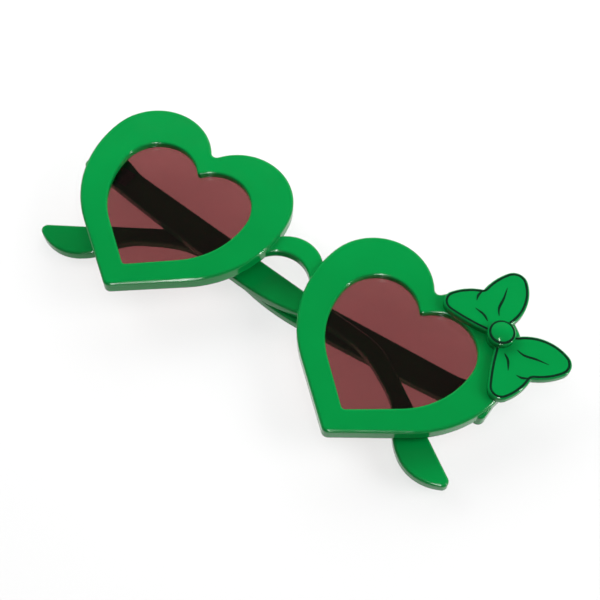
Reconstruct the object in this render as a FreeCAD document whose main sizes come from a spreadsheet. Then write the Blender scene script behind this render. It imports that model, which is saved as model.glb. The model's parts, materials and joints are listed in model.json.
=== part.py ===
import FreeCAD, Part
import math
import os
import Sketcher
from FreeCAD import Placement, Rotation, Vector

# Heart shaped sunglasses with a bow, folded and lying face up on a table.
# X runs along the width of the glasses, Y towards the notches of the hearts and Z up.
# The origin lies on the table, under the right temple, on the middle plane between the hearts.
# The front is drawn in a frame of its own, with the two hinge axes in its XY plane. It leans a
# little about Y, because the left temple is folded over the right one and lies that much higher.
# Lengths are in millimetres and angles in degrees.

SIZES = {
    # Both hearts: the line through the lobes of the lens openings, and the lean of each heart
    "heart_pitch": 79.0,
    "heart_lean_angle": 2.2,
    "lobe_line": 8.0,
    # Lens opening
    "opening_lobe_offset": 9.8,
    "opening_lobe_radius": 11.9,
    "opening_flank_radius": 25.3,
    "opening_flank_angle": 2.5,
    "opening_tip_drop": 29.8,
    "opening_tip_round": 1.2,
    "opening_notch_round": 1.0,
    "opening_edge_bevel": 0.35,
    # Rim
    "rim_lobe_offset": 14.9,
    "rim_lobe_rise": 5.9,
    "rim_lobe_radius": 16.9,
    "rim_flank_radius": 34.3,
    "rim_flank_angle": 10.0,
    "rim_tip_drop": 38.1,
    "rim_tip_round": 2.0,
    "rim_notch_round": 1.6,
    "rim_thickness": 4.2,
    "rim_edge_bevel": 0.5,
    # Lens and the rebate that it drops into from behind
    "rebate_width": 1.2,
    "rebate_depth": 2.0,
    "lens_thickness": 1.9,
    "lens_clearance": 0.1,
    # Bridge: an arched strip that stands behind the front faces of the hearts
    "bridge_crown": 8.2,
    "bridge_width": 6.4,
    "bridge_top_sag": 4.7,
    "bridge_bottom_sag": 5.6,
    "bridge_root": 1.4,
    "bridge_thickness": 2.8,
    "bridge_edge_bevel": 0.4,
    # Moulded nose pads on the backs of the rims
    "nose_pad_length": 15.0,
    "nose_pad_width": 4.4,
    "nose_pad_height": 2.6,
    "nose_pad_taper": 1.2,
    "nose_pad_inset": 8.4,
    "nose_pad_drop": 14.0,
    "nose_pad_angle": 31.0,
    # Lugs behind the rims, which carry the hinges
    "lug_land": 0.6,
    "lug_rise": 6.1,
    "lug_fall": 7.3,
    "lug_depth": 2.4,
    "lug_root": 2.0,
    "lug_top_round": 1.2,
    "lug_low_round": 2.0,
    # Hinges
    "leaf_wall": 0.7,
    "hinge_drop": 2.6,
    "axis_offset": 1.5,
    "knuckle_radius": 1.3,
    "knuckle_length": 1.7,
    "knuckle_gap": 0.1,
    "leaf_thickness": 0.9,
    "leaf_clearance": 0.05,
    "front_leaf_reach": 2.4,
    "temple_leaf_reach": 7.0,
    "temple_leaf_inset": 0.5,
    "screw_radius": 0.7,
    "screw_clearance": 0.04,
    "screw_head_radius": 1.15,
    "screw_head_height": 0.7,
    "screw_slot_width": 0.35,
    "screw_slot_depth": 0.3,
    # Temples
    "temple_thickness": 3.2,
    "temple_stack_gap": 0.35,
    "temple_end_gap": 0.2,
    "temple_top_rise": 4.2,
    "temple_droop_angle": 3.6,
    "temple_reach": 103.2,
    "temple_root_rise": 6.0,
    "temple_flare_length": 12.0,
    "temple_root_width": 7.8,
    "temple_belly_width": 9.6,
    "temple_neck_width": 4.9,
    "temple_inner_bevel": 0.45,
    "temple_outer_bevel": 0.2,
    "temple_bend_radius": 22.0,
    "ear_angle": 32.3,
    "ear_length": 43.8,
    "ear_width": 10.0,
    # Bow and its knot
    "bow_across": 22.5,
    "bow_rise": 13.2,
    "bow_angle": -33.0,
    "bow_upper_reach": 13.3,
    "bow_upper_rise": 10.9,
    "bow_upper_radius": 3.95,
    "bow_upper_shoulder_angle": 102.0,
    "bow_upper_gap_angle": 20.0,
    "bow_lower_reach": 14.2,
    "bow_lower_fall": 7.0,
    "bow_lower_radius": 3.55,
    "bow_lower_shoulder_angle": 120.0,
    "bow_lower_gap_angle": 35.5,
    "bow_notch_reach": 15.05,
    "bow_notch_rise": 2.0,
    "bow_hollow_round": 0.4,
    "bow_boss_radius": 3.85,
    "bow_thickness": 2.2,
    "bow_edge_bevel": 0.4,
    "bow_peg_spacing": 12.0,
    "bow_peg_radius": 1.0,
    "bow_peg_length": 1.6,
    "peg_clearance": 0.05,
    "knot_radius": 3.95,
    "knot_wall": 2.0,
    "knot_edge_bevel": 0.35,
    "knot_dome": 0.9,
    "knot_peg_radius": 1.2,
    "knot_peg_length": 1.5,
    # How far a cut runs past the face that it opens
    "cut_overrun": 1.0,
}

# Places along a temple, as shares of the straight run and of the ear piece.
BELLY_SHARE = 0.56
NECK_SHARE = 0.92
EAR_NECK_SHARE = 0.30
HEEL_SHARE = 0.74
TIP_LOW_SHARES = (1.009, 0.26)
TIP_TOP_SHARE = 0.973

# Two points closer than this are one point.
TOLERANCE = 1e-4

LEFT = -1
RIGHT = 1
SIDE_NAMES = {LEFT: "left", RIGHT: "right"}

doc = FreeCAD.newDocument("heart_sunglasses")
nodes = []


def size(alias):
    return SIZES[alias]


def make_sheet():
    sheet = doc.addObject("Spreadsheet::Sheet", "dims")
    for row, (alias, value) in enumerate(SIZES.items(), start=1):
        sheet.set(f"A{row}", alias)
        sheet.set(f"B{row}", str(value))
        sheet.setAlias(f"B{row}", alias)
    doc.recompute()


def bind(thing, **expressions):
    for name, expression in expressions.items():
        thing.setExpression(name.replace("__", "."), expression)


def keep(thing, name, placement):
    thing.Label = name
    thing.Placement = placement
    nodes.append(thing)


# Heights in the front's frame, and the frame's own place
BACK = "dims.axis_offset + dims.lug_depth"
FRONT = BACK + " + dims.rim_thickness"
HINGE_LINE = "dims.lobe_line - dims.hinge_drop"


def back_height():
    return size("axis_offset") + size("lug_depth")


def front_height():
    return back_height() + size("rim_thickness")


def hinge_line():
    return size("lobe_line") - size("hinge_drop")


def stack_lift():
    return size("temple_thickness") + size("temple_stack_gap")


def lower_axis_height():
    return size("axis_offset") + size("temple_thickness")


def front_lean():
    return math.degrees(math.asin(stack_lift() / (2 * hinge_offset())))


def front_place(x=0.0, y=0.0, z=0.0, turn=0.0):
    middle = Vector(0, 0, lower_axis_height() + stack_lift() / 2)
    frame = Placement(middle, Rotation(Vector(0, 1, 0), front_lean()))
    return frame.multiply(Placement(Vector(x, y, z), Rotation(Vector(0, 0, 1), turn)))


def axis_place(side):
    """The hinge axis of one side, on the table's frame."""
    return Placement(front_place(side * hinge_offset(), hinge_line()).Base, Rotation())


# Small helpers for bodies and sketches

def make_body(name):
    return doc.addObject("PartDesign::Body", name)


def origin_plane(body, role):
    return next(plane for plane in body.Origin.OriginFeatures if plane.Role == role)


def make_sketch(body, name, height, x="0", y="0", turn=0.0):
    """A sketch parallel to XY at a height, moved by x and y and turned in its plane."""
    sketch = body.newObject("Sketcher::SketchObject", name)
    sketch.AttachmentSupport = [(origin_plane(body, "XY_Plane"), "")]
    sketch.MapMode = "FlatFace"
    sketch.AttachmentOffset = Placement(Vector(), Rotation(Vector(0, 0, 1), turn))
    bind(sketch, AttachmentOffset__Base__x=x, AttachmentOffset__Base__y=y, AttachmentOffset__Base__z=height)
    return sketch


def add_feature(body, kind, name, profile, length, reverse=False):
    feature = body.newObject(f"PartDesign::{kind}", name)
    feature.Profile = profile
    feature.Reversed = reverse
    bind(feature, Length=length)
    doc.recompute()
    return feature


def add_cut(body, name, profile, length, reverse=False):
    before = body.Shape.Volume
    feature = add_feature(body, "Pocket", name, profile, length, reverse)
    if body.Shape.Volume >= before - TOLERANCE:
        raise RuntimeError(f"{name} cuts nothing")
    return feature


def sharp_edges(shape, height, wanted=None):
    """Names of the edges at a height where a flat face meets a steep wall."""
    names = []
    for number, edge in enumerate(shape.Edges, start=1):
        box = edge.BoundBox
        if abs(box.ZMin - height) > TOLERANCE or abs(box.ZMax - height) > TOLERANCE:
            continue
        middle = edge.valueAt((edge.FirstParameter + edge.LastParameter) / 2)
        slopes = []
        for face in shape.ancestorsOfType(edge, Part.Face):
            u, v = face.Surface.parameter(middle)
            slopes.append(abs(face.normalAt(u, v).z))
        is_sharp = max(slopes) - min(slopes) > 0.5
        if is_sharp and (wanted is None or wanted(edge)):
            names.append(f"Edge{number}")
    return names


def bevel_edges(body, name, height, depth, wanted=None):
    base = body.Tip
    names = sharp_edges(base.Shape, height, wanted)
    if not names:
        raise RuntimeError(f"{name} finds no edge")
    chamfer = body.newObject("PartDesign::Chamfer", name)
    chamfer.Base = (base, names)
    bind(chamfer, Size=depth)
    doc.recompute()


def add_rectangle(sketch, low_x, low_y, high_x, high_y, values):
    """A rectangle whose corners are bound to expressions; values are the same corners as numbers."""
    x0, y0, x1, y1 = values
    corners = [Vector(x0, y0, 0), Vector(x1, y0, 0), Vector(x1, y1, 0), Vector(x0, y1, 0)]
    first = sketch.GeometryCount
    for index, corner in enumerate(corners):
        sketch.addGeometry(Part.LineSegment(corner, corners[(index + 1) % 4]))
    for index in range(4):
        sketch.addConstraint(Sketcher.Constraint("Coincident", first + index, 2, first + (index + 1) % 4, 1))
    for index in (0, 2):
        sketch.addConstraint(Sketcher.Constraint("Horizontal", first + index))
    for index in (1, 3):
        sketch.addConstraint(Sketcher.Constraint("Vertical", first + index))
    for kind, point, value, expression in (
        ("DistanceX", first, x0, low_x),
        ("DistanceY", first, y0, low_y),
        ("DistanceX", first + 2, x1, high_x),
        ("DistanceY", first + 2, y1, high_y),
    ):
        number = sketch.addConstraint(Sketcher.Constraint(kind, point, 1, value))
        sketch.setExpression(f"Constraints[{number}]", expression)


def add_circle(sketch, x, y, radius, expression):
    number = sketch.addGeometry(Part.Circle(Vector(x, y, 0), Vector(0, 0, 1), radius))
    bound = sketch.addConstraint(Sketcher.Constraint("Radius", number, radius))
    sketch.setExpression(f"Constraints[{bound}]", expression)


# Heart outlines

def flank_centre_x(kind):
    swing = size(f"{kind}_flank_radius") - size(f"{kind}_lobe_radius")
    return size(f"{kind}_lobe_offset") - swing * math.cos(math.radians(size(f"{kind}_flank_angle")))


def heart_half_width(kind):
    return flank_centre_x(kind) + size(f"{kind}_flank_radius")


def flank_centre_text(kind):
    swing = f"(dims.{kind}_flank_radius - dims.{kind}_lobe_radius)"
    return f"dims.{kind}_lobe_offset - {swing} * cos(dims.{kind}_flank_angle * 1 deg)"


def half_width_text(kind):
    return f"({flank_centre_text(kind)} + dims.{kind}_flank_radius)"


def add_heart(sketch, kind, rise, grow, rise_value, grow_value):
    """One upright heart about the sketch's Y axis, made larger all round by grow.

    Each half has a round lobe, a flank of larger radius and a straight run to the rounded tip;
    a small arc rounds the notch between the lobes.
    """
    lobe = Vector(size(f"{kind}_lobe_offset"), rise_value, 0)
    lobe_radius = size(f"{kind}_lobe_radius") + grow_value
    flank_radius = size(f"{kind}_flank_radius") + grow_value
    join = math.radians(size(f"{kind}_flank_angle"))
    swing = flank_radius - lobe_radius
    flank = lobe - Vector(swing * math.cos(join), swing * math.sin(join), 0)
    tip_round = size(f"{kind}_tip_round")
    tip_radius = tip_round + grow_value
    tip = Vector(0, tip_round - size(f"{kind}_tip_drop"), 0)
    notch_radius = size(f"{kind}_notch_round")
    notch = Vector(0, rise_value + math.sqrt((lobe_radius + notch_radius) ** 2 - lobe.x ** 2), 0)

    # The straight run touches the flank circle and the tip circle at the same outward angle.
    away = tip - flank
    run_angle = math.atan2(away.y, away.x) + math.acos((flank_radius - tip_radius) / away.Length)
    notch_angle = math.atan2(lobe.y - notch.y, lobe.x)

    def arc(centre, radius, start, end):
        return Part.ArcOfCircle(Part.Circle(centre, Vector(0, 0, 1), radius), start, end)

    def mirrored(point):
        return Vector(-point.x, point.y, 0)

    def on_circle(centre, radius, angle):
        return centre + Vector(radius * math.cos(angle), radius * math.sin(angle), 0)

    run_top = on_circle(flank, flank_radius, run_angle)
    run_end = on_circle(tip, tip_radius, run_angle)
    pieces = {
        "lobe": arc(lobe, lobe_radius, join, notch_angle + math.pi),
        "flank": arc(flank, flank_radius, run_angle, join),
        "run": Part.LineSegment(run_top, run_end),
        "tip": arc(tip, tip_radius, -math.pi - run_angle, run_angle),
        "run_2": Part.LineSegment(mirrored(run_top), mirrored(run_end)),
        "flank_2": arc(mirrored(flank), flank_radius, math.pi - join, math.pi - run_angle),
        "lobe_2": arc(mirrored(lobe), lobe_radius, -notch_angle, math.pi - join),
        "notch": arc(notch, notch_radius, -math.pi - notch_angle, notch_angle),
    }
    at = {name: sketch.addGeometry(piece) for name, piece in pieces.items()}
    joints = (
        ("lobe", 1, "flank", 2), ("flank", 1, "run", 1), ("run", 2, "tip", 2), ("tip", 1, "run_2", 2),
        ("run_2", 1, "flank_2", 2), ("flank_2", 1, "lobe_2", 2), ("lobe_2", 1, "notch", 1),
        ("notch", 2, "lobe", 2),
    )
    for one, end, other, other_end in joints:
        sketch.addConstraint(Sketcher.Constraint("Tangent", at[one], end, at[other], other_end))
    sketch.addConstraint(Sketcher.Constraint("Equal", at["lobe"], at["lobe_2"]))
    sketch.addConstraint(Sketcher.Constraint("Equal", at["flank"], at["flank_2"]))

    lobe_x = f"dims.{kind}_lobe_offset"
    flank_x = flank_centre_text(kind)
    tip_y = f"dims.{kind}_tip_round - dims.{kind}_tip_drop"
    for rule, piece, value, expression in (
        ("Radius", "lobe", lobe_radius, f"dims.{kind}_lobe_radius + {grow}"),
        ("Radius", "flank", flank_radius, f"dims.{kind}_flank_radius + {grow}"),
        ("Radius", "tip", tip_radius, f"dims.{kind}_tip_round + {grow}"),
        ("Radius", "notch", notch_radius, f"dims.{kind}_notch_round"),
        ("DistanceX", "lobe", lobe.x, lobe_x),
        ("DistanceY", "lobe", lobe.y, rise),
        ("DistanceX", "lobe_2", -lobe.x, f"-({lobe_x})"),
        ("DistanceY", "lobe_2", lobe.y, rise),
        ("DistanceX", "flank", flank.x, flank_x),
        ("DistanceX", "flank_2", -flank.x, f"-({flank_x})"),
        ("DistanceX", "tip", tip.x, "0"),
        ("DistanceY", "tip", tip.y, tip_y),
    ):
        if rule == "Radius":
            constraint = Sketcher.Constraint(rule, at[piece], value)
        else:
            constraint = Sketcher.Constraint(rule, at[piece], 3, value)
        number = sketch.addConstraint(constraint)
        sketch.setExpression(f"Constraints[{number}]", expression)


def heart_sketch(body, name, side, height, kind, grow="0", grow_value=0.0):
    turn = -side * size("heart_lean_angle")
    sketch = make_sketch(body, name, height, f"{side} * dims.heart_pitch / 2", "dims.lobe_line", turn)
    if kind == "rim":
        add_heart(sketch, kind, "dims.rim_lobe_rise", grow, size("rim_lobe_rise"), grow_value)
    else:
        add_heart(sketch, kind, "0", grow, 0.0, grow_value)
    return sketch


# Front

def add_bridge(body):
    """An arched strip between the hearts, thinner than the rims and set back from their faces."""
    reach = size("heart_pitch") / 2 - heart_half_width("rim") + size("bridge_root")
    crown = size("lobe_line") + size("bridge_crown")
    under = crown - size("bridge_width")
    top_end = crown - size("bridge_top_sag")
    under_end = under - size("bridge_bottom_sag")
    sketch = make_sketch(body, "bridge_outline", BACK)
    for middle, end in ((crown, top_end), (under, under_end)):
        sketch.addGeometry(Part.Arc(Vector(-reach, end, 0), Vector(0, middle, 0), Vector(reach, end, 0)))
    for x in (-reach, reach):
        sketch.addGeometry(Part.LineSegment(Vector(x, top_end, 0), Vector(x, under_end, 0)))
    add_feature(body, "Pad", "bridge", sketch, "dims.bridge_thickness")


def add_rims(body):
    for side in (LEFT, RIGHT):
        sketch = heart_sketch(body, f"rim_outline_{SIDE_NAMES[side]}", side, BACK, "rim")
        add_feature(body, "Pad", f"rim_{SIDE_NAMES[side]}", sketch, "dims.rim_thickness")


def lug_inner():
    return size("heart_pitch") / 2 + heart_half_width("opening") + size("rebate_width") + size("lug_land")


def lug_outer():
    return hinge_offset() + size("axis_offset") + size("temple_thickness")


def hinge_offset():
    """The hinge axis stands a leaf's reach and a thin wall outside the lug's inner side."""
    return lug_inner() + size("leaf_wall") + size("front_leaf_reach")


def hinge_offset_text():
    seat = f"dims.heart_pitch / 2 + {half_width_text('opening')} + dims.rebate_width"
    return f"({seat} + dims.lug_land + dims.leaf_wall + dims.front_leaf_reach)"


def add_lugs(body):
    """Blocks behind the outer sides of the rims; their rear faces stand just short of the hinge axes."""
    ends = ((1, size("lug_rise"), size("lug_top_round")), (-1, size("lug_fall"), size("lug_low_round")))
    for side in (LEFT, RIGHT):
        sketch = make_sketch(body, f"lug_outline_{SIDE_NAMES[side]}", "dims.axis_offset")
        near = side * lug_inner()
        far = side * lug_outer()
        inner_corners = []
        outer_corners = []
        for up, reach, corner_round in ends:
            edge = hinge_line() + up * reach
            inner = Vector(near, edge, 0)
            flat_end = Vector(far - side * corner_round, edge, 0)
            turn_end = Vector(far, edge - up * corner_round, 0)
            sketch.addGeometry(Part.LineSegment(inner, flat_end))
            sketch.addGeometry(Part.Arc(*bend_points(flat_end, Vector(side, 0, 0), turn_end)))
            inner_corners.append(inner)
            outer_corners.append(turn_end)
        sketch.addGeometry(Part.LineSegment(*inner_corners))
        sketch.addGeometry(Part.LineSegment(*outer_corners))
        add_feature(body, "Pad", f"lug_{SIDE_NAMES[side]}", sketch, "dims.lug_depth + dims.lug_root")


def add_slot(sketch, length, width):
    """A straight slot along the sketch's Y axis with round ends."""
    half = (length - width) / 2
    radius = width / 2
    for sign in (1, -1):
        centre = Vector(0, sign * half, 0)
        edge = Vector(radius, 0, 0)
        crown = centre + Vector(0, sign * radius, 0)
        sketch.addGeometry(Part.Arc(centre + edge * sign, crown, centre - edge * sign))
        sketch.addGeometry(Part.LineSegment(centre - edge * sign, centre * -1 - edge * sign))


def add_nose_pads(body):
    """Tapered moulded pads on the backs of the rims, along their flanks beside the nose."""
    for side in (LEFT, RIGHT):
        name = SIDE_NAMES[side]
        x = f"{side} * (dims.heart_pitch / 2 - {half_width_text('rim')} + dims.nose_pad_inset)"
        y = "dims.lobe_line - dims.nose_pad_drop"
        turn = side * size("nose_pad_angle")
        foot = make_sketch(body, f"nose_pad_foot_{name}", BACK, x, y, turn)
        add_slot(foot, size("nose_pad_length"), size("nose_pad_width"))
        top = make_sketch(body, f"nose_pad_top_{name}", BACK + " - dims.nose_pad_height", x, y, turn)
        shrink = 2 * size("nose_pad_taper")
        add_slot(top, size("nose_pad_length") - shrink, size("nose_pad_width") - shrink)
        loft = body.newObject("PartDesign::AdditiveLoft", f"nose_pad_{name}")
        loft.Profile = foot
        loft.Sections = [top]
        doc.recompute()


def add_lens_seats(body):
    """The heart openings, and the rebates behind them that the lenses drop into."""
    for side in (LEFT, RIGHT):
        name = SIDE_NAMES[side]
        opening = heart_sketch(body, f"opening_outline_{name}", side, FRONT, "opening")
        add_cut(body, f"opening_{name}", opening, "dims.rim_thickness + dims.cut_overrun")
    bevel_edges(body, "opening_edge", front_height(), "dims.opening_edge_bevel")
    for side in (LEFT, RIGHT):
        name = SIDE_NAMES[side]
        rebate = heart_sketch(
            body, f"rebate_outline_{name}", side, BACK, "opening", "dims.rebate_width", size("rebate_width")
        )
        add_cut(body, f"rebate_{name}", rebate, "dims.rebate_depth", reverse=True)


def leaf_half_height():
    return 1.5 * size("knuckle_length") + size("knuckle_gap")


def add_leaf_seats(body):
    """Shallow recesses in the rear faces of the lugs for the front leaves of the hinges."""
    gap = size("leaf_clearance")
    half = leaf_half_height() + gap
    for side in (LEFT, RIGHT):
        name = SIDE_NAMES[side]
        x = f"{side} * {hinge_offset_text()}"
        sketch = make_sketch(body, f"leaf_seat_outline_{name}", "dims.axis_offset", x, HINGE_LINE)
        near = -side * (size("front_leaf_reach") + gap)
        far = side * (size("knuckle_radius") + gap)
        low, high = sorted((near, far))
        half_text = "1.5 * dims.knuckle_length + dims.knuckle_gap + dims.leaf_clearance"
        reach_text = "(dims.front_leaf_reach + dims.leaf_clearance)"
        edge_text = "(dims.knuckle_radius + dims.leaf_clearance)"
        low_text = f"-{reach_text}" if side == RIGHT else f"-{edge_text}"
        high_text = edge_text if side == RIGHT else reach_text
        add_rectangle(sketch, low_text, f"-({half_text})", high_text, half_text, (low, -half, high, half))
        add_cut(body, f"leaf_seat_{name}", sketch, "dims.leaf_thickness", reverse=True)


def bow_sketch(body, name, height):
    x = "dims.heart_pitch / 2 + dims.bow_across"
    return make_sketch(body, name, height, x, "dims.lobe_line + dims.bow_rise", size("bow_angle"))


def add_bow_holes(body):
    """Two blind holes in the right rim's face for the pegs of the bow."""
    sketch = bow_sketch(body, "bow_holes_outline", FRONT)
    radius = size("bow_peg_radius") + size("peg_clearance")
    for sign in (-1, 1):
        x = sign * size("bow_peg_spacing") / 2
        add_circle(sketch, x, 0.0, radius, "dims.bow_peg_radius + dims.peg_clearance")
    add_cut(body, "bow_holes", sketch, "dims.bow_peg_length + dims.peg_clearance")


def make_front():
    body = make_body("front")
    add_bridge(body)
    add_rims(body)
    bevel_edges(body, "rim_edge", front_height(), "dims.rim_edge_bevel")
    bridge_top = back_height() + size("bridge_thickness")
    bevel_edges(
        body, "bridge_edge", bridge_top, "dims.bridge_edge_bevel",
        lambda edge: edge.BoundBox.XMin < 0 < edge.BoundBox.XMax,
    )
    add_lugs(body)
    add_nose_pads(body)
    add_lens_seats(body)
    add_leaf_seats(body)
    add_bow_holes(body)
    keep(body, "front_frame", front_place())


def make_lens(side):
    """A flat tinted lens, a little smaller than its rebate and seated on the rebate's floor."""
    name = SIDE_NAMES[side]
    body = make_body(f"lens_{name}_body")
    floor = f"{BACK} + dims.rebate_depth - dims.lens_thickness"
    grow = "dims.rebate_width - dims.lens_clearance"
    grow_value = size("rebate_width") - size("lens_clearance")
    sketch = heart_sketch(body, f"lens_outline_{name}", side, floor, "opening", grow, grow_value)
    add_feature(body, "Pad", f"lens_blank_{name}", sketch, "dims.lens_thickness")
    keep(body, f"lens_{name}", front_place())


# Temples, drawn folded, with the hinge axis at the origin

def bend_points(start, direction, end):
    """Start, middle and end of the arc that leaves start along direction and reaches end."""
    chord = end - start
    turn = math.atan2(direction.x * chord.y - direction.y * chord.x, direction.dot(chord))
    across = Vector(chord.y, -chord.x, 0)
    return start, start + chord * 0.5 + across * (math.tan(turn / 2) / 2), end


def double_bend(start, leaving, end, arriving):
    """Two arcs that meet smoothly and join two points along given directions."""
    chord = end - start
    both = leaving + arriving
    spread = 2 * (1 - leaving.dot(arriving))
    if spread > TOLERANCE:
        lean = chord.dot(both)
        reach = (math.sqrt(lean ** 2 + spread * chord.dot(chord)) - lean) / spread
    else:
        reach = chord.dot(chord) / (4 * chord.dot(arriving))
    meet = (start + end + (leaving - arriving) * reach) * 0.5
    return [bend_points(start, leaving, meet), bend_points(end, arriving * -1, meet)]


def temple_outline(side):
    """The closed outline of one temple.

    The root flares up to the lug's height; a straight top edge, the bend and a leaf shaped ear end
    follow, and the lower edge is bellied.
    """
    droop = math.radians(size("temple_droop_angle"))
    ear = math.radians(size("ear_angle"))
    along = Vector(math.cos(droop), -math.sin(droop), 0)
    down = Vector(-math.sin(droop), -math.cos(droop), 0)
    ear_along = Vector(math.cos(ear), -math.sin(ear), 0)
    ear_down = Vector(-math.sin(ear), -math.cos(ear), 0)
    start = size("temple_end_gap") - size("axis_offset")
    reach = size("temple_reach")
    top_start = Vector(start, size("temple_top_rise"), 0)
    corner = top_start + along * reach
    set_back = size("temple_bend_radius") * math.tan((ear - droop) / 2)
    bend_start = corner - along * set_back
    bend_end = corner + ear_along * set_back
    length = size("ear_length")
    width = size("ear_width")
    neck = size("temple_neck_width")

    def on_ear(length_share, depth):
        return corner + ear_along * (length * length_share) + ear_down * depth

    # The round tip leaves the top edge smoothly and runs into the lower edge.
    tip_top = on_ear(TIP_TOP_SHARE, 0.0)
    tip_low = on_ear(TIP_LOW_SHARES[0], width * TIP_LOW_SHARES[1])
    chord = tip_low - tip_top
    tip_radius = chord.Length ** 2 / (2 * chord.dot(ear_down))
    spoke = tip_low - tip_top - ear_down * tip_radius
    tip_leaving = Vector(-spoke.y, spoke.x, 0).normalize()

    # The lower edge is widest at the belly, narrowest at the neck and wide again at the heel.
    root = Vector(start, size("temple_top_rise") - size("temple_root_width"), 0)
    root_top = Vector(start, size("temple_root_rise"), 0)
    flare_end = top_start + along * size("temple_flare_length")
    belly = top_start + along * (reach * BELLY_SHARE) + down * size("temple_belly_width")
    narrow = top_start + along * (reach * NECK_SHARE) + down * neck
    ear_neck = on_ear(EAR_NECK_SHARE, neck)
    heel = on_ear(HEEL_SHARE, width)
    runs = [
        (flare_end, bend_start),
        bend_points(bend_start, along, bend_end),
        (bend_end, tip_top),
        bend_points(tip_top, ear_along, tip_low),
        bend_points(belly, along * -1, root),
        (root, root_top),
    ]
    runs += double_bend(root_top, along, flare_end, along)
    runs += double_bend(belly, along, narrow, along)
    runs += double_bend(narrow, along, ear_neck, ear_along)
    runs += double_bend(ear_neck, ear_along, heel, ear_along)
    runs += double_bend(heel, ear_along, tip_low, tip_leaving)

    pieces = []
    for run in runs:
        points = [Vector(-side * point.x, point.y, 0) for point in run]
        pieces.append(Part.Arc(*points) if len(points) == 3 else Part.LineSegment(*points))
    return pieces


def make_temple(side):
    name = SIDE_NAMES[side]
    body = make_body(f"temple_{name}_body")
    outer_face = "-(dims.axis_offset + dims.temple_thickness)"
    sketch = make_sketch(body, f"temple_outline_{name}", outer_face)
    for piece in temple_outline(side):
        sketch.addGeometry(piece)
    add_feature(body, "Pad", f"temple_blank_{name}", sketch, "dims.temple_thickness")
    inner_height = -size("axis_offset")
    outer_height = inner_height - size("temple_thickness")
    bevel_edges(body, f"temple_inner_edge_{name}", inner_height, "dims.temple_inner_bevel")
    bevel_edges(body, f"temple_outer_edge_{name}", outer_height, "dims.temple_outer_bevel")

    seat = make_sketch(body, f"temple_leaf_outline_{name}", "-dims.axis_offset")
    gap = size("leaf_clearance")
    half = leaf_half_height() + gap
    root = size("axis_offset") - size("temple_end_gap") - size("temple_leaf_inset") + gap
    reach = size("temple_leaf_reach") + gap
    low, high = sorted((side * root, -side * reach))
    half_text = "1.5 * dims.knuckle_length + dims.knuckle_gap + dims.leaf_clearance"
    root_text = "(dims.axis_offset - dims.temple_end_gap - dims.temple_leaf_inset + dims.leaf_clearance)"
    reach_text = "(dims.temple_leaf_reach + dims.leaf_clearance)"
    low_text = f"-{reach_text}" if side == RIGHT else f"-{root_text}"
    high_text = root_text if side == RIGHT else reach_text
    add_rectangle(seat, low_text, f"-({half_text})", high_text, half_text, (low, -half, high, half))
    add_cut(body, f"temple_leaf_seat_{name}", seat, "dims.leaf_thickness")
    keep(body, f"temple_{name}", axis_place(side))


# Hinges, drawn with the hinge axis along Y through the origin

def make_box(name, length, width, height, x, y, z):
    box = doc.addObject("Part::Box", name)
    bind(box, Length=length, Width=width, Height=height)
    bind(box, Placement__Base__x=x, Placement__Base__y=y, Placement__Base__z=z)
    return box


def make_rod(name, radius, length, y):
    """A cylinder on the hinge axis, from y onwards."""
    rod = doc.addObject("Part::Cylinder", name)
    rod.Placement = Placement(Vector(), Rotation(Vector(1, 0, 0), -90))
    bind(rod, Radius=radius, Height=length, Placement__Base__y=y)
    return rod


def fuse(name, shapes):
    whole = doc.addObject("Part::MultiFuse", name)
    whole.Shapes = shapes
    whole.Refine = True
    return whole


def cut(name, base, tool):
    rest = doc.addObject("Part::Cut", name)
    rest.Base = base
    rest.Tool = tool
    return rest


HALF_LEAF = "(1.5 * dims.knuckle_length + dims.knuckle_gap)"
BORE_RADIUS = "dims.screw_radius + dims.screw_clearance"


def make_bore(name):
    length = f"2 * ({HALF_LEAF} + dims.cut_overrun)"
    return make_rod(f"{name}_bore", BORE_RADIUS, length, f"-{HALF_LEAF} - dims.cut_overrun")


def make_front_leaf(side):
    """Plate sunk in the lug's rear face, with the upper and lower knuckles of the hinge."""
    name = f"hinge_front_leaf_{SIDE_NAMES[side]}"
    x = "-dims.front_leaf_reach" if side == RIGHT else "-dims.knuckle_radius"
    length = "dims.front_leaf_reach + dims.knuckle_radius"
    plate = make_box(
        f"{name}_plate", length, f"2 * {HALF_LEAF}", "dims.leaf_thickness",
        x, f"-{HALF_LEAF}", "dims.axis_offset",
    )
    pieces = [plate]
    for label, start in (("lower", f"-{HALF_LEAF}"), ("upper", f"{HALF_LEAF} - dims.knuckle_length")):
        knuckle = make_rod(f"{name}_{label}_knuckle", "dims.knuckle_radius", "dims.knuckle_length", start)
        web = make_box(
            f"{name}_{label}_web", "2 * dims.knuckle_radius", "dims.knuckle_length",
            "dims.axis_offset + dims.leaf_thickness", "-dims.knuckle_radius", start, "0",
        )
        pieces += [knuckle, web]
    leaf = cut(name + "_cut", fuse(name + "_blank", pieces), make_bore(name))
    keep(leaf, name, front_place(side * hinge_offset(), hinge_line()))


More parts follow.
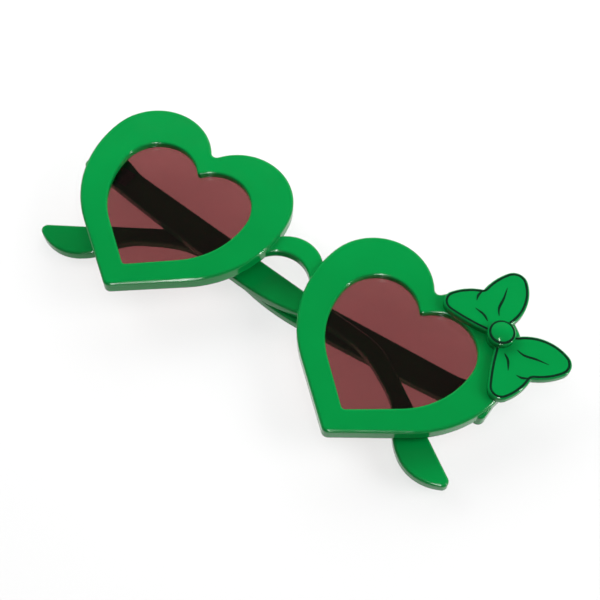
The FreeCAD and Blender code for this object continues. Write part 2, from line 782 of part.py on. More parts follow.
def make_temple_leaf(side):
    """Plate sunk in the temple's inner face, with the middle knuckle of the hinge."""
    name = f"hinge_temple_leaf_{SIDE_NAMES[side]}"
    root = "(dims.axis_offset - dims.temple_end_gap - dims.temple_leaf_inset)"
    x = "-dims.temple_leaf_reach" if side == RIGHT else f"-{root}"
    plate = make_box(
        f"{name}_plate", f"dims.temple_leaf_reach + {root}", f"2 * {HALF_LEAF}", "dims.leaf_thickness",
        x, f"-{HALF_LEAF}", "-(dims.axis_offset + dims.leaf_thickness)",
    )
    start = "-dims.knuckle_length / 2"
    knuckle = make_rod(f"{name}_knuckle", "dims.knuckle_radius", "dims.knuckle_length", start)
    web_x = f"-{root}" if side == LEFT else "-dims.knuckle_radius"
    web = make_box(
        f"{name}_web", f"dims.knuckle_radius + {root}", "dims.knuckle_length",
        "dims.axis_offset + dims.leaf_thickness", web_x, start, "-(dims.axis_offset + dims.leaf_thickness)",
    )
    leaf = cut(name + "_cut", fuse(name + "_blank", [plate, knuckle, web]), make_bore(name))
    keep(leaf, name, axis_place(side))


def make_screw(side):
    """Slotted screw that is the pin of one hinge; its head rests on the upper knuckle."""
    name = f"hinge_screw_{SIDE_NAMES[side]}"
    shank = make_rod(f"{name}_shank", "dims.screw_radius", f"2 * {HALF_LEAF}", f"-{HALF_LEAF}")
    head = make_rod(f"{name}_head", "dims.screw_head_radius", "dims.screw_head_height", HALF_LEAF)
    slot = make_box(
        f"{name}_slot", "2 * dims.screw_head_radius", "dims.screw_slot_depth + dims.cut_overrun",
        "dims.screw_slot_width", "-dims.screw_head_radius",
        f"{HALF_LEAF} + dims.screw_head_height - dims.screw_slot_depth", "-dims.screw_slot_width / 2",
    )
    screw = cut(name + "_cut", fuse(name + "_blank", [shank, head]), slot)
    keep(screw, name, front_place(side * hinge_offset(), hinge_line()))


# Bow

def bend_to_hollow(start, inward, hollow, radius):
    """Three points of the arc that leaves start square to inward and meets a hollow round smoothly."""
    away = hollow - start
    bend = (away.dot(away) - radius ** 2) / (2 * (radius + inward.dot(away)))
    centre = start + inward * bend
    touch = centre + (hollow - centre) * (bend / (bend + radius))
    return start, round_middle(centre, start, touch), touch


def round_middle(centre, start, end):
    """The middle of the shorter arc about centre between two of its points."""
    return centre + (start + end - centre * 2).normalize() * (start - centre).Length


def bow_outline():
    """Two loops that leave a round boss; each loop's upper and lower lobe meet in a notch at its end."""
    hollow_round = size("bow_hollow_round")
    notch = Vector(size("bow_notch_reach") + hollow_round, size("bow_notch_rise"), 0)
    boss = size("bow_boss_radius")
    bosses = []
    loop = []
    notch_ends = []
    for name, height, up in (("upper", size("bow_upper_rise"), 1), ("lower", -size("bow_lower_fall"), -1)):
        lobe = Vector(size(f"bow_{name}_reach"), height, 0)
        radius = size(f"bow_{name}_radius")
        shoulder_angle = math.radians(size(f"bow_{name}_shoulder_angle"))
        gap_angle = math.radians(size(f"bow_{name}_gap_angle"))
        outward = Vector(math.cos(shoulder_angle), up * math.sin(shoulder_angle), 0)
        shoulder = lobe + outward * radius
        end = lobe + Vector(radius, 0, 0)
        boss_way = Vector(math.sin(gap_angle), up * math.cos(gap_angle), 0)
        corner = boss_way * (boss + hollow_round)
        boss_end = boss_way * boss
        side = bend_to_hollow(shoulder, outward * -1, corner, hollow_round)
        loop.append(side)
        loop.append((side[2], round_middle(corner, side[2], boss_end), boss_end))
        loop.append((shoulder, round_middle(lobe, shoulder, end), end))
        loop.append(bend_to_hollow(end, Vector(-1, 0, 0), notch, hollow_round))
        notch_ends.append(loop[-1][2])
        bosses.append((boss_end, Vector(0, up * boss, 0), Vector(-boss_end.x, boss_end.y, 0)))
    loop.append((notch_ends[0], round_middle(notch, *notch_ends), notch_ends[1]))

    pieces = [Part.Arc(*run) for run in bosses]
    for across in (1, -1):
        for run in loop:
            points = [Vector(point.x * across, point.y, 0) for point in run]
            pieces.append(Part.Arc(*points))
    return pieces


def make_bow():
    """Flat moulded ribbon bow with a bevelled face, two pegs behind and a socket for its knot."""
    body = make_body("bow_body")
    sketch = bow_sketch(body, "bow_outline", FRONT)
    for piece in bow_outline():
        sketch.addGeometry(piece)
    add_feature(body, "Pad", "bow_blank", sketch, "dims.bow_thickness")
    bevel_edges(body, "bow_edge", front_height() + size("bow_thickness"), "dims.bow_edge_bevel")
    pegs = bow_sketch(body, "bow_pegs_outline", FRONT)
    for sign in (-1, 1):
        x = sign * size("bow_peg_spacing") / 2
        add_circle(pegs, x, 0.0, size("bow_peg_radius"), "dims.bow_peg_radius")
    add_feature(body, "Pad", "bow_pegs", pegs, "dims.bow_peg_length", reverse=True)
    socket = bow_sketch(body, "knot_socket_outline", f"{FRONT} + dims.bow_thickness")
    radius = size("knot_peg_radius") + size("peg_clearance")
    add_circle(socket, 0.0, 0.0, radius, "dims.knot_peg_radius + dims.peg_clearance")
    add_cut(body, "knot_socket", socket, "dims.knot_peg_length + dims.peg_clearance")
    keep(body, "bow", front_place())


def make_knot():
    """Round knot with a bevelled edge and a low dome, turned about its own axis, on a peg."""
    body = make_body("knot_body")
    radius = size("knot_radius")
    wall = size("knot_wall")
    bevel = size("knot_edge_bevel")
    dome = size("knot_dome")
    peg = size("knot_peg_radius")
    peg_end = -size("knot_peg_length")
    rim = Vector(radius - bevel, wall, 0)
    dome_radius = (rim.x ** 2 + dome ** 2) / (2 * dome)
    half_angle = math.asin(rim.x / dome_radius) / 2
    crown = Vector(0, wall + dome, 0)
    shoulder = crown + Vector(math.sin(half_angle), math.cos(half_angle) - 1, 0) * dome_radius
    corners = [
        crown, Vector(0, peg_end, 0), Vector(peg, peg_end, 0), Vector(peg, 0, 0), Vector(radius, 0, 0),
        Vector(radius, wall - bevel, 0), rim,
    ]
    sketch = body.newObject("Sketcher::SketchObject", "knot_profile")
    sketch.AttachmentSupport = [(origin_plane(body, "XZ_Plane"), "")]
    sketch.MapMode = "FlatFace"
    for start, end in zip(corners, corners[1:]):
        sketch.addGeometry(Part.LineSegment(start, end))
    sketch.addGeometry(Part.Arc(rim, shoulder, crown))
    turned = body.newObject("PartDesign::Revolution", "knot_turned")
    turned.Profile = sketch
    turned.ReferenceAxis = (sketch, ["V_Axis"])
    turned.Angle = 360.0
    doc.recompute()
    x = size("heart_pitch") / 2 + size("bow_across")
    y = size("lobe_line") + size("bow_rise")
    keep(body, "bow_knot", front_place(x, y, front_height() + size("bow_thickness"), size("bow_angle")))


def check_and_export():
    doc.recompute()
    for thing in doc.Objects:
        if "Invalid" in thing.State or "Error" in thing.State:
            raise RuntimeError(f"{thing.Name} failed: {thing.State}")
    os.makedirs("parts", exist_ok=True)
    for node in nodes:
        shape = node.Shape
        if shape.isNull() or not shape.isValid() or len(shape.Solids) != 1:
            raise RuntimeError(f"{node.Label} is not one valid solid")
    for node in nodes:
        node.Shape.exportStep(f"parts/{node.Label}.step")
        box = node.Shape.BoundBox
        spans = f"{box.XLength:.2f} x {box.YLength:.2f} x {box.ZLength:.2f}"
        print(f"{node.Label}: {spans} mm, {node.Shape.Volume:.1f} mm3")


make_sheet()
make_front()
for hand in (LEFT, RIGHT):
    make_lens(hand)
    make_temple(hand)
    make_front_leaf(hand)
    make_temple_leaf(hand)
    make_screw(hand)
make_bow()
make_knot()
check_and_export()
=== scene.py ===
import json
import math

import bpy
from mathutils import Matrix, Vector


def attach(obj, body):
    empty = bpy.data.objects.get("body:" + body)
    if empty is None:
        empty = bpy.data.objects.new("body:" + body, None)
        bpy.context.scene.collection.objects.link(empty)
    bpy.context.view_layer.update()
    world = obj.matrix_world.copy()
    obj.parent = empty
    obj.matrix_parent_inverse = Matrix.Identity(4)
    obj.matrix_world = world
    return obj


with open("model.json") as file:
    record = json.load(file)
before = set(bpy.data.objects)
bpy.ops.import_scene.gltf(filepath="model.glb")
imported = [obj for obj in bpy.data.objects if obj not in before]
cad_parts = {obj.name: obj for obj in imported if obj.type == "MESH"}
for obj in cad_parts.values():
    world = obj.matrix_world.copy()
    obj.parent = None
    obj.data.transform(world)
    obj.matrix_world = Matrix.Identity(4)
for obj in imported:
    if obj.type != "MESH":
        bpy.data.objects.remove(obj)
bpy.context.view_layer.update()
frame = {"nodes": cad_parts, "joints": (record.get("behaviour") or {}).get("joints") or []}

scene = bpy.context.scene
cad_nodes = frame["nodes"]
MM = 0.001


# Frames of the front and of the bow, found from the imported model

BOW_TURN = math.radians(-33)


def front_frame():
    """The leaned frame of the front: its origin lies between the two hinge axes."""
    hinges = {joint["name"]: Vector(joint["pos_m"]) for joint in frame["joints"]}
    left = hinges["left_hinge"]
    right = hinges["right_hinge"]
    across = (right - left).normalized()
    up = Vector((0, 1, 0))
    out = across.cross(up)
    middle = (left + right) / 2
    turn = Matrix((across, up, out)).transposed().to_4x4()
    return Matrix.Translation((middle.x, 0, middle.z)) @ turn


def local_points(name, place):
    """The corners of a CAD node in a frame, in millimetres."""
    back = place.inverted()
    return [(back @ vertex.co) / MM for vertex in cad_nodes[name].data.vertices]


FRONT = front_frame()


def bow_frame():
    """The bow's own frame: the knot's axis is Z and the bow's flat face is at height 0."""
    knot = local_points("bow_knot", FRONT)
    centre_x = (min(p.x for p in knot) + max(p.x for p in knot)) / 2
    centre_y = (min(p.y for p in knot) + max(p.y for p in knot)) / 2
    face = max(p.z for p in local_points("bow", FRONT))
    shift = Matrix.Translation(Vector((centre_x, centre_y, face)) * MM)
    return FRONT @ shift @ Matrix.Rotation(BOW_TURN, 4, "Z")


BOW = bow_frame()
BOW_POINTS = local_points("bow", BOW)
KNOT_POINTS = local_points("bow_knot", BOW)
KNOT_RADIUS = max(math.hypot(p.x, p.y) for p in KNOT_POINTS)


# Building blocks of the materials

PLAIN_DETAIL = 2.0
FINE_DETAIL = 3.0

# Noise has most of its values between these two
NOISE_LOW = 0.3
NOISE_HIGH = 0.7

EDGE_RADIUS = 0.8 * MM
EDGE_SAMPLES = 12
# Cosine of the turn at which an edge gets its full painted highlight
EDGE_HIGHLIGHT_COSINE = 0.86


def new_material(name):
    material = bpy.data.materials.new(name)
    material.use_nodes = True
    return material, material.node_tree, material.node_tree.nodes["Principled BSDF"]


def add_node(tree, kind, **inputs):
    node = tree.nodes.new(kind)
    for name, value in inputs.items():
        node.inputs[name.replace("_", " ")].default_value = value
    return node


def add_noise(tree, scale, detail=PLAIN_DETAIL, stretch=(1.0, 1.0, 1.0)):
    """Noise in the part's frame; scale is in cells for each metre."""
    coords = tree.nodes.new("ShaderNodeTexCoord")
    mapping = add_node(tree, "ShaderNodeMapping", Scale=stretch)
    noise = add_node(tree, "ShaderNodeTexNoise", Scale=scale, Detail=detail)
    tree.links.new(coords.outputs["Object"], mapping.inputs["Vector"])
    tree.links.new(mapping.outputs["Vector"], noise.inputs["Vector"])
    return noise.outputs["Fac"]


def add_ramp(tree, factor, low, low_colour, high, high_colour):
    """A colour that goes from one tone to another as the factor goes from low to high."""
    ramp = tree.nodes.new("ShaderNodeValToRGB")
    stops = ((low, low_colour), (high, high_colour))
    for element, (place, colour) in zip(ramp.color_ramp.elements, stops):
        element.position = place
        element.color = (*colour, 1.0)
    tree.links.new(factor, ramp.inputs["Fac"])
    return ramp.outputs["Color"]


def add_range(tree, noise, low, high):
    """Spreads noise over a range of values."""
    spread = add_node(
        tree, "ShaderNodeMapRange", From_Min=NOISE_LOW, From_Max=NOISE_HIGH, To_Min=low, To_Max=high
    )
    tree.links.new(noise, spread.inputs["Value"])
    return spread.outputs["Result"]


def add_bump(tree, height, strength, distance, normal=None):
    bump = add_node(tree, "ShaderNodeBump", Strength=strength, Distance=distance)
    tree.links.new(height, bump.inputs["Height"])
    if normal is not None:
        tree.links.new(normal, bump.inputs["Normal"])
    return bump.outputs["Normal"]


def add_soft_edges(tree):
    """Normals that turn smoothly over the small bevels, and a mask of where they turn."""
    bevel = add_node(tree, "ShaderNodeBevel", Radius=EDGE_RADIUS)
    bevel.samples = EDGE_SAMPLES
    geometry = tree.nodes.new("ShaderNodeNewGeometry")
    match = tree.nodes.new("ShaderNodeVectorMath")
    match.operation = "DOT_PRODUCT"
    tree.links.new(bevel.outputs["Normal"], match.inputs[0])
    tree.links.new(geometry.outputs["Normal"], match.inputs[1])
    mask = add_node(
        tree, "ShaderNodeMapRange", From_Min=1.0, From_Max=EDGE_HIGHLIGHT_COSINE, To_Min=0.0, To_Max=1.0
    )
    tree.links.new(match.outputs["Value"], mask.inputs["Value"])
    return bevel.outputs["Normal"], mask.outputs["Result"]


def add_clear(tree, shader, factor):
    """Mixes a clear surface into a material, as much as the factor says."""
    clear = tree.nodes.new("ShaderNodeBsdfTransparent")
    mix = tree.nodes.new("ShaderNodeMixShader")
    tree.links.new(factor, mix.inputs["Fac"])
    tree.links.new(shader.outputs["BSDF"], mix.inputs[1])
    tree.links.new(clear.outputs["BSDF"], mix.inputs[2])
    tree.links.new(mix.outputs["Shader"], tree.nodes["Material Output"].inputs["Surface"])
    return clear


# Gloss plastic of the front, the temples and the bow

CLOUD_SCALE = 38.0
CLOUD_LOW = 0.32
CLOUD_HIGH = 0.68
# Share of the paler colour painted on the edges as a highlight
EDGE_HIGHLIGHT_WEIGHT = 0.3
GLOSS_SCALE = 260.0
PEEL_SCALE = 1400.0
PEEL_STRENGTH = 0.05
PEEL_DEPTH = 0.1 * MM
PLASTIC_SPECULAR = 0.32


def moulded_plastic(name, deep, clear, painted_edge_highlight, gloss):
    """Gloss moulding: clouded colour, edges painted paler as a painted highlight, faint orange peel."""
    material, tree, shader = new_material(name)
    cloud = add_ramp(
        tree, add_noise(tree, CLOUD_SCALE, FINE_DETAIL), CLOUD_LOW, deep, CLOUD_HIGH, clear
    )
    normal, mask = add_soft_edges(tree)
    # The edges are painted paler where the bevels turn: a painted highlight
    weight = tree.nodes.new("ShaderNodeMath")
    weight.operation = "MULTIPLY"
    weight.inputs[1].default_value = EDGE_HIGHLIGHT_WEIGHT
    tree.links.new(mask, weight.inputs[0])
    colour = tree.nodes.new("ShaderNodeMix")
    colour.data_type = "RGBA"
    colour.inputs["B"].default_value = (*painted_edge_highlight, 1.0)
    tree.links.new(weight.outputs["Value"], colour.inputs["Factor"])
    tree.links.new(cloud, colour.inputs["A"])
    tree.links.new(colour.outputs["Result"], shader.inputs["Base Color"])
    uneven_gloss = add_range(tree, add_noise(tree, GLOSS_SCALE, FINE_DETAIL), *gloss)
    tree.links.new(uneven_gloss, shader.inputs["Roughness"])
    peel = add_bump(tree, add_noise(tree, PEEL_SCALE), PEEL_STRENGTH, PEEL_DEPTH, normal)
    tree.links.new(peel, shader.inputs["Normal"])
    shader.inputs["Specular IOR Level"].default_value = PLASTIC_SPECULAR
    return material


# Each green carries a paler colour that is painted on its edges as a highlight
FRAME_GREEN = moulded_plastic(
    "frame_green",
    deep=(0.0, 0.182, 0.033),
    clear=(0.0, 0.202, 0.037),
    painted_edge_highlight=(0.01, 0.29, 0.07),
    gloss=(0.09, 0.15),
)
# The temples are the frame's plastic painted a little paler: painted light that brightens the ears
TEMPLE_GREEN = moulded_plastic(
    "temple_green",
    deep=(0.0, 0.188, 0.034),
    clear=(0.0, 0.208, 0.038),
    painted_edge_highlight=(0.01, 0.29, 0.07),
    gloss=(0.09, 0.16),
)
BOW_GREEN = moulded_plastic(
    "bow_green",
    deep=(0.0, 0.190, 0.036),
    clear=(0.0, 0.210, 0.041),
    painted_edge_highlight=(0.01, 0.30, 0.075),
    gloss=(0.08, 0.14),
)


# Tinted sheet of the lenses

LENS_LOW = -22 * MM
LENS_HIGH = 24 * MM
LENS_LOW_TINT = (0.272, 0.081, 0.081)
LENS_HIGH_TINT = (0.262, 0.078, 0.078)
LENS_IOR = 1.45
LENS_HAZE_SCALE = 90.0
LENS_HAZE = (0.0, 0.03)
# A lamp's light meets two faces of the sheet, and each takes the square root of the tint
FACE_POWER = 0.5


def tinted_lens(name):
    """Clear tinted sheet. Lamps shine through it, and its tint deepens a little towards the top."""
    material, tree, shader = new_material(name)
    coords = tree.nodes.new("ShaderNodeTexCoord")
    split = tree.nodes.new("ShaderNodeSeparateXYZ")
    tree.links.new(coords.outputs["Object"], split.inputs["Vector"])
    rise = add_node(
        tree, "ShaderNodeMapRange", From_Min=LENS_LOW, From_Max=LENS_HIGH, To_Min=0.0, To_Max=1.0
    )
    tree.links.new(split.outputs["Y"], rise.inputs["Value"])
    colour = add_ramp(tree, rise.outputs["Result"], 0.0, LENS_LOW_TINT, 1.0, LENS_HIGH_TINT)
    tree.links.new(colour, shader.inputs["Base Color"])
    shader.inputs["Transmission Weight"].default_value = 1.0
    shader.inputs["IOR"].default_value = LENS_IOR
    haze = add_range(tree, add_noise(tree, LENS_HAZE_SCALE, FINE_DETAIL), *LENS_HAZE)
    tree.links.new(haze, shader.inputs["Roughness"])

    path = tree.nodes.new("ShaderNodeLightPath")
    clear = add_clear(tree, shader, path.outputs["Is Shadow Ray"])
    face_tint = add_node(tree, "ShaderNodeGamma", Gamma=FACE_POWER)
    tree.links.new(colour, face_tint.inputs["Color"])
    tree.links.new(face_tint.outputs["Color"], clear.inputs["Color"])
    return material


LENS_TINT = tinted_lens("lens_burgundy")


# Steel of the hinges

STREAK_SCALE = 900.0
STREAK_STRETCH = (6.0, 0.4, 6.0)
STREAK_STRENGTH = 0.15
STREAK_DEPTH = 0.05 * MM
STEEL_DARK = (0.10, 0.10, 0.11)
STEEL_LIGHT = (0.22, 0.22, 0.23)
STEEL_GLOSS = (0.24, 0.42)


def brushed_steel(name):
    """Turned and brushed steel: streaks along the hinge and a little tarnish."""
    material, tree, shader = new_material(name)
    streaks = add_noise(tree, STREAK_SCALE, stretch=STREAK_STRETCH)
    tone = add_ramp(tree, streaks, NOISE_LOW, STEEL_DARK, NOISE_HIGH, STEEL_LIGHT)
    tree.links.new(tone, shader.inputs["Base Color"])
    tree.links.new(add_range(tree, streaks, *STEEL_GLOSS), shader.inputs["Roughness"])
    tree.links.new(add_bump(tree, streaks, STREAK_STRENGTH, STREAK_DEPTH), shader.inputs["Normal"])
    shader.inputs["Metallic"].default_value = 1.0
    return material


STEEL = brushed_steel("hinge_steel")


# Ink of the printed lines

INK_CLOUD_SCALE = 700.0
INK_GRAIN_SCALE = 1600.0
INK_DARK = (0.0, 0.013, 0.005)
INK_LIGHT = (0.0, 0.024, 0.009)
INK_GLOSS = (0.6, 0.75)
INK_SPECULAR = 0.08


def printed_ink(name):
    """Dark green ink, a little uneven, as pad printing leaves it."""
    material, tree, shader = new_material(name)
    cloud = add_noise(tree, INK_CLOUD_SCALE, FINE_DETAIL)
    tone = add_ramp(tree, cloud, NOISE_LOW, INK_DARK, NOISE_HIGH, INK_LIGHT)
    tree.links.new(tone, shader.inputs["Base Color"])
    grain = add_noise(tree, INK_GRAIN_SCALE)
    tree.links.new(add_range(tree, grain, *INK_GLOSS), shader.inputs["Roughness"])
    shader.inputs["Specular IOR Level"].default_value = INK_SPECULAR
    return material


INK = printed_ink("bow_ink")


# Finish of each CAD node, by the first word of its name

FINISHES = {
    "front": FRAME_GREEN,
    "temple": TEMPLE_GREEN,
    "bow": BOW_GREEN,
    "lens": LENS_TINT,
    "hinge": STEEL,
}

for cad_name, cad_node in cad_nodes.items():
    cad_node.data.materials.clear()
    cad_node.data.materials.append(FINISHES[cad_name.split("_")[0]])


# Printed lines on the bow: an inner border, a ring round the knot and a few pleats, in millimetres

INK_WIDTH = 0.7
INK_HEIGHT = 0.05
INK_ROOT = 0.02
INK_STEP = 0.35
INK_TOP_SHARE = 0.85
# Corners across a line, as shares of its half width and heights over the face
INK_PROFILE = (
    (-1, -INK_ROOT),
    (-INK_TOP_SHARE, INK_HEIGHT),
    (INK_TOP_SHARE, INK_HEIGHT),
    (1, -INK_ROOT),
)
INK_CORNERS = len(INK_PROFILE)

BORDER_INSET = 0.36
BORDER_SMOOTHINGS = 3
SHORTEST_RUN_POINTS = 3
RING_SHARE = 0.84
RING_POINTS = 72

FACE_TOLERANCE = 0.01
POINT_DIGITS = 3
DOME_FOOT = 0.5

# A stroke's width at its ends, how much it swells, and how far its fullest place lies before the middle
STROKE_END_SHARE = 0.18
STROKE_SWELL_SHARE = 0.9
STROKE_LEAN_POWER = 0.8
STROKE_STEPS = 12

# Pleats of one loop, as points along the bow (x) and across it (y)
PLEATS = (
    ((5.6, 2.2), (7.9, 3.3), (10.2, 5.9), (12.9, 8.4)),
    ((5.3, -1.5), (7.6, -1.6), (10.4, -2.9)),
    ((14.5, 1.3), (13.8, -0.3), (12.4, -1.5)),
)


def face_outline():
    """The longest closed edge of the bow's flat face, as points in the bow's frame."""
    joined = {}

    def key(index):
        return round(BOW_POINTS[index].x, POINT_DIGITS), round(BOW_POINTS[index].y, POINT_DIGITS)

    for polygon in cad_nodes["bow"].data.polygons:
        if all(abs(BOW_POINTS[index].z) < FACE_TOLERANCE for index in polygon.vertices):
            corners = [key(index) for index in polygon.vertices]
            for start, end in zip(corners, corners[1:] + corners[:1]):
                if start in joined.get(end, set()):
                    joined[end].discard(start)
                else:
                    joined.setdefault(start, set()).add(end)
    loops = []
    while any(joined.values()):
        start = next(point for point, ends in joined.items() if ends)
        loop = [start]
        while joined[loop[-1]]:
            loop.append(joined[loop[-1]].pop())
        loops.append([Vector(point) for point in loop[:-1]])
    return max(loops, key=lambda loop: sum((b - a).length for a, b in zip(loop, loop[1:])))


def even_points(points, step, closed):
    """The same line with points at an even step."""
    line = points + points[:1] if closed else points
    places = [0.0]
    for start, end in zip(line, line[1:]):
        places.append(places[-1] + (end - start).length)
    count = max(2, round(places[-1] / step))
    result = []
    index = 0
    for number in range(count if closed else count + 1):
        target = places[-1] * number / count
        while index < len(places) - 2 and places[index + 1] < target:
            index += 1
        share = (target - places[index]) / (places[index + 1] - places[index])
        result.append(line[index].lerp(line[index + 1], share))
    return result


def side_ways(points, closed):
    """A unit vector to the left of the line at each point."""
    ways = []
    for index in range(len(points)):
        if closed:
            ahead = points[(index + 1) % len(points)] - points[index - 1]
        else:
            ahead = points[min(index + 1, len(points) - 1)] - points[max(index - 1, 0)]
        ways.append(Vector((-ahead.y, ahead.x)).normalized())
    return ways


def inset_loop(points, depth):
    """A closed line moved inwards, with its corners eased."""
    ways = side_ways(points, True)
    area = sum(a.x * b.y - b.x * a.y for a, b in zip(points, points[1:] + points[:1]))
    sign = 1 if area > 0 else -1
    moved = [point + way * (sign * depth) for point, way in zip(points, ways)]
    for _ in range(BORDER_SMOOTHINGS):
        moved = [
            (moved[index - 1] + moved[index] * 2 + moved[(index + 1) % len(moved)]) / 4
            for index in range(len(moved))
        ]
    return moved


def smooth_line(knots):
    """A smooth line through a few points, by cubic pieces."""
    ends = [knots[0] * 2 - knots[1]] + knots + [knots[-1] * 2 - knots[-2]]
    line = []
    for a, b, c, d in zip(ends, ends[1:], ends[2:], ends[3:]):
        slope = c - a
        square = a * 2 - b * 5 + c * 4 - d
        cube = b * 3 - a - c * 3 + d
        for number in range(STROKE_STEPS):
            t = number / STROKE_STEPS
            line.append((b * 2 + slope * t + square * t ** 2 + cube * t ** 3) / 2)
    return line + [knots[-1]]


def split_open(points, keep):
    """The stretches of a closed line whose points are kept."""
    start = next(index for index in range(len(points)) if not keep(points[index]))
    turned = points[start:] + points[:start]
    runs = []
    current = []
    for point in turned:
        if keep(point):
            current.append(point)
        elif current:
            runs.append(current)
            current = []
    if current:
        runs.append(current)
    return [run for run in runs if len(run) > SHORTEST_RUN_POINTS]


def even_width(share):
    return INK_WIDTH


def brush_width(share):
    """Thin at both ends of a stroke, fullest before its middle."""
    swell = math.sin(math.pi * share ** STROKE_LEAN_POWER)
    return INK_WIDTH * (STROKE_END_SHARE + STROKE_SWELL_SHARE * swell)


def face_height(spot):
    return 0.0


def knot_height(spot):
    """The height of the knot's dome over the bow's face."""
    crown = [point for point in KNOT_POINTS if point.z > DOME_FOOT]
    return min(crown, key=lambda point: abs(math.hypot(point.x, point.y) - spot.length)).z


class InkMesh:
    """Raised printed lines, collected into one mesh."""

    def __init__(self):
        self.points = []
        self.faces = []

    def add(self, line, closed, width, surface=face_height):
        """A line with a flat back; width gives the full width at a share of its length."""
        first = len(self.points)
        count = len(line)
        for number, (point, way) in enumerate(zip(line, side_ways(line, closed))):
            half = width(number / max(1, count - 1)) / 2
            for share, height in INK_PROFILE:
                spot = point + way * (half * share)
                self.points.append(BOW @ (Vector((spot.x, spot.y, surface(spot) + height)) * MM))
        for number in range(count if closed else count - 1):
            here = first + INK_CORNERS * number
            there = first + INK_CORNERS * ((number + 1) % count)
            for corner in range(INK_CORNERS):
                after = (corner + 1) % INK_CORNERS
                self.faces.append((there + corner, there + after, here + after, here + corner))
        if not closed:
            last = first + INK_CORNERS * (count - 1)
            self.faces.append(tuple(range(first, first + INK_CORNERS)))
            self.faces.append(tuple(reversed(range(last, last + INK_CORNERS))))

    def finish(self, name):
        mesh = bpy.data.meshes.new(name)
        mesh.from_pydata(self.points, [], self.faces)
        mesh.update()
        for polygon in mesh.polygons:
            polygon.use_smooth = True
        piece = bpy.data.objects.new(name, mesh)
        scene.collection.objects.link(piece)
        mesh.materials.append(INK)
        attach(piece, "front")


def draw_bow_lines():
    ink = InkMesh()
    border = inset_loop(even_points(face_outline(), INK_STEP, True), BORDER_INSET)
    for run in split_open(border, lambda point: point.length > KNOT_RADIUS):
        ink.add(run, False, even_width)
    ring = KNOT_RADIUS * RING_SHARE
    angles = [math.tau * number / RING_POINTS for number in range(RING_POINTS)]
    circle = [Vector((math.cos(angle), math.sin(angle))) * ring for angle in angles]
    ink.add(circle, True, even_width, knot_height)
    for across in (1, -1):
        for stroke in PLEATS:
            line = smooth_line([Vector((across * x, y)) for x, y in stroke])
            ink.add(even_points(line, INK_STEP, False), False, brush_width)
    ink.finish("bow_printed_lines")


draw_bow_lines()


# Floor

FLOOR_SIZE = 24.0
FLOOR_GAP = 0.03 * MM
FLOOR_CLEARNESS = 0.72
FLOOR_CLOUD_SCALE = 6.0
FLOOR_DARK = (0.70, 0.70, 0.70)
FLOOR_LIGHT = (0.74, 0.74, 0.74)
FLOOR_ROUGHNESS = 0.85
FLOOR_SPECULAR = 0.1


def pale_floor(name):
    """Frosted white glass over white light, so that a temple opened below it shows; clear from below."""
    material, tree, shader = new_material(name)
    cloud = add_noise(tree, FLOOR_CLOUD_SCALE)
    tone = add_ramp(tree, cloud, NOISE_LOW, FLOOR_DARK, NOISE_HIGH, FLOOR_LIGHT)
    tree.links.new(tone, shader.inputs["Base Color"])
    shader.inputs["Roughness"].default_value = FLOOR_ROUGHNESS
    shader.inputs["Specular IOR Level"].default_value = FLOOR_SPECULAR
    geometry = tree.nodes.new("ShaderNodeNewGeometry")
    clearness = add_node(tree, "ShaderNodeMapRange", To_Min=FLOOR_CLEARNESS, To_Max=1.0)
    tree.links.new(geometry.outputs["Backfacing"], clearness.inputs["Value"])
    add_clear(tree, shader, clearness.outputs["Result"])
    return material


def add_floor():
    bpy.ops.mesh.primitive_plane_add(size=FLOOR_SIZE, location=(0, 0, -FLOOR_GAP))
    floor = bpy.context.object
    floor.name = "floor"
    floor.data.materials.append(pale_floor("pale_floor"))


add_floor()


# Lamps: softboxes light the surfaces and give no glare, as if polarised; strips give the gloss alone

def add_lamp(name, place, across, along, power, gloss):
    """A rectangular lamp aimed at the part, with its place and size in metres and its power in watts."""
    lamp = bpy.data.lights.new(name, "AREA")
    lamp.shape = "RECTANGLE"
    lamp.size = across
    lamp.size_y = along
    lamp.energy = power
    thing = bpy.data.objects.new(name, lamp)
    scene.collection.objects.link(thing)
    thing.location = place
    thing.rotation_euler = (-Vector(place)).to_track_quat("-Z", "Y").to_euler()
    thing.visible_camera = False
    thing.visible_transmission = False
    thing.visible_glossy = gloss
    thing.visible_diffuse = not gloss


def add_softbox(name, place, across, along, power):
    add_lamp(name + "_softbox", place, across, along, power, gloss=False)


def add_strip(name, place, across, along, power):
    add_lamp(name + "_strip", place, across, along, power, gloss=True)


add_softbox("top", place=(-0.10, 0.21, 0.15), across=0.34, along=0.14, power=0.85)
add_softbox("left", place=(-0.80, 0.06, 0.60), across=0.6, along=0.5, power=6.2)
add_softbox("right", place=(0.76, 0.36, 0.54), across=0.6, along=0.5, power=9.0)
add_softbox("over", place=(0.10, -0.14, 0.80), across=0.5, along=0.5, power=2.0)
add_strip("right", place=(0.90, 0.18, 0.33), across=0.05, along=0.35, power=3.5)
add_strip("front", place=(0.30, -0.42, 0.86), across=0.045, along=0.85, power=6.0)
add_strip("low", place=(0.50, -0.70, 0.48), across=0.40, along=0.03, power=4.0)


# World: dim light from above, white light from below the table, and a pale backdrop to look at

LIGHT_ABOVE = 0.10
LIGHT_BELOW = 1.0
BACKDROP = 0.76
# How much of the backdrop shows through a lens
LENS_BACKDROP_SHARE = 0.5
# How far up a ray points, as a share of 1, where the light from below has given way to that from above
HORIZON_RISE = 0.001


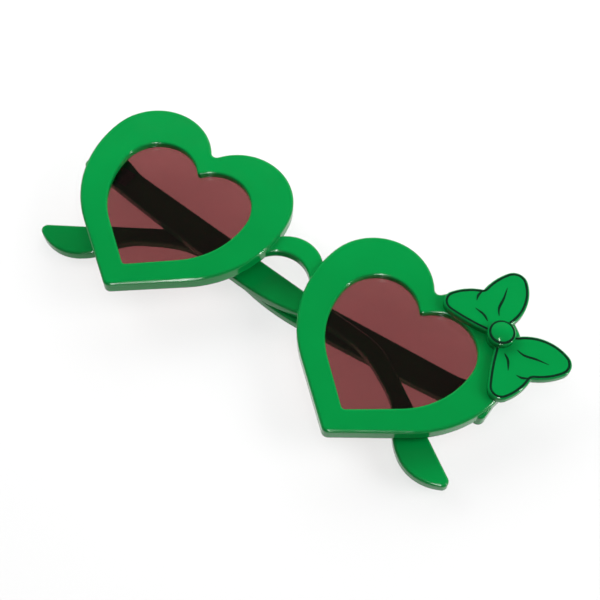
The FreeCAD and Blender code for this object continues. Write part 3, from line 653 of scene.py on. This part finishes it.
def add_world():
    """The backdrop shows past the floor and above it, and a share of it shows through a lens."""
    world = bpy.data.worlds.new("studio")
    scene.world = world
    world.use_nodes = True
    tree = world.node_tree
    path = tree.nodes.new("ShaderNodeLightPath")

    seen = tree.nodes.new("ShaderNodeMath")
    seen.operation = "MULTIPLY_ADD"
    tree.links.new(path.outputs["Is Transmission Ray"], seen.inputs[0])
    seen.inputs[1].default_value = LENS_BACKDROP_SHARE
    tree.links.new(path.outputs["Is Camera Ray"], seen.inputs[2])
    sky = add_node(tree, "ShaderNodeMix", A=LIGHT_ABOVE, B=BACKDROP)
    tree.links.new(seen.outputs["Value"], sky.inputs["Factor"])

    coords = tree.nodes.new("ShaderNodeTexCoord")
    split = tree.nodes.new("ShaderNodeSeparateXYZ")
    tree.links.new(coords.outputs["Generated"], split.inputs["Vector"])
    rise = add_node(
        tree, "ShaderNodeMapRange", From_Min=0.0, From_Max=HORIZON_RISE, To_Min=LIGHT_BELOW
    )
    tree.links.new(split.outputs["Z"], rise.inputs["Value"])
    tree.links.new(sky.outputs["Result"], rise.inputs["To Max"])

    past_floor = tree.nodes.new("ShaderNodeMath")
    past_floor.operation = "SUBTRACT"
    past_floor.use_clamp = True
    tree.links.new(path.outputs["Is Camera Ray"], past_floor.inputs[0])
    tree.links.new(path.outputs["Transparent Depth"], past_floor.inputs[1])
    strength = add_node(tree, "ShaderNodeMix", B=BACKDROP)
    tree.links.new(past_floor.outputs["Value"], strength.inputs["Factor"])
    tree.links.new(rise.outputs["Result"], strength.inputs["A"])

    background = tree.nodes["Background"]
    background.inputs["Color"].default_value = (1, 1, 1, 1)
    tree.links.new(strength.outputs["Result"], background.inputs["Strength"])


add_world()
scene.view_settings.view_transform = "Standard"
scene.view_settings.look = "None"


# Camera at the photo's viewing angle, in millimetres

CAMERA_EYE = (103.49, -132.63, 301.84)
CAMERA_TARGET = (10.114, -1.820, 14.575)
CAMERA_LENS = 69.79
CAMERA_SENSOR = 36.0
CAMERA_NEAREST = 10.0
CAMERA_FARTHEST = 20000.0


def add_camera():
    eye = Vector(CAMERA_EYE) * MM
    target = Vector(CAMERA_TARGET) * MM
    data = bpy.data.cameras.new("camera")
    data.lens = CAMERA_LENS
    data.sensor_width = CAMERA_SENSOR
    data.clip_start = CAMERA_NEAREST * MM
    data.clip_end = CAMERA_FARTHEST * MM
    camera = bpy.data.objects.new("camera", data)
    scene.collection.objects.link(camera)
    camera.location = eye
    camera.rotation_euler = (target - eye).to_track_quat("-Z", "Y").to_euler()
    scene.camera = camera


add_camera()
